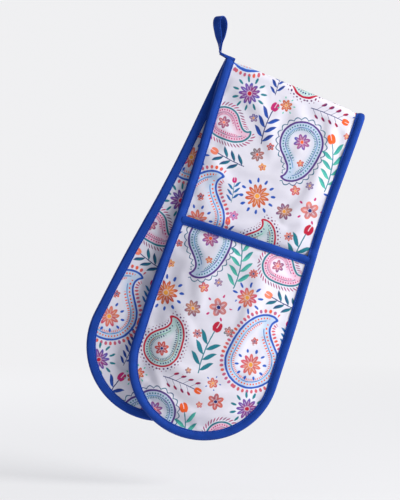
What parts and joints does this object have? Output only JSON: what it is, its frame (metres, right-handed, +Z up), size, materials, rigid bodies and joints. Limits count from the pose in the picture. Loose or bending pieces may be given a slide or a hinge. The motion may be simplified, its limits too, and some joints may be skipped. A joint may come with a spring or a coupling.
{
  "type": "double oven glove",
  "caption": "Padded cotton strip folded across its middle, with a hand pocket at each round end, bound edges and a hanging loop.",
  "frame": {"origin": "inside the top of the hanging loop, where a hook bears", "axes": "+Z up as the glove hangs, +X to the right seen from its front, -Y towards someone who looks at the front half"},
  "size_m": [0.3357, 0.0398, 0.5107],
  "materials": {
    "printed_cotton": "matte woven cotton with a painted paisley print",
    "plain_lining": "matte plain cotton",
    "wadding": "soft needled filling",
    "blue_binding": "matte cotton bias tape"
  },
  "bodies": {
    "loop": {"hanging_loop": "blue_binding"},
    "fold": {"loop_tail": "blue_binding", "fold_outer_cloth": "printed_cotton", "fold_wadding": "wadding", "fold_inner_cloth": "printed_cotton", "fold_left_binding": "blue_binding", "fold_right_binding": "blue_binding"},
    "front_half": {"front_outer_cloth": "printed_cotton", "front_wadding": "wadding", "front_inner_cloth": "printed_cotton", "front_edge_binding": "blue_binding", "front_pocket_cloth": "printed_cotton", "front_pocket_wadding": "wadding", "front_pocket_lining": "plain_lining", "front_mouth_binding": "blue_binding"},
    "back_half": {"back_outer_cloth": "printed_cotton", "back_wadding": "wadding", "back_inner_cloth": "printed_cotton", "back_edge_binding": "blue_binding", "back_pocket_cloth": "printed_cotton", "back_pocket_wadding": "wadding", "back_pocket_lining": "plain_lining", "back_mouth_binding": "blue_binding"}
  },
  "joints": [
    {"name": "loop_swing", "type": "hinge", "parent": "loop", "child": "fold", "pos_m": [0, 0, -0.04235], "axis": [0, 1, 0], "range_deg": [-60, 60]},
    {"name": "front_fold", "type": "hinge", "parent": "fold", "child": "front_half", "pos_m": [0.08974, -0.00573, -0.08613], "axis": [-0.9222, 0, 0.3867], "range_deg": [0, 90]},
    {"name": "back_fold", "type": "hinge", "parent": "fold", "child": "back_half", "pos_m": [0.08974, 0.00573, -0.08613], "axis": [0.9222, 0, -0.3867], "range_deg": [0, 90]}
  ]
}
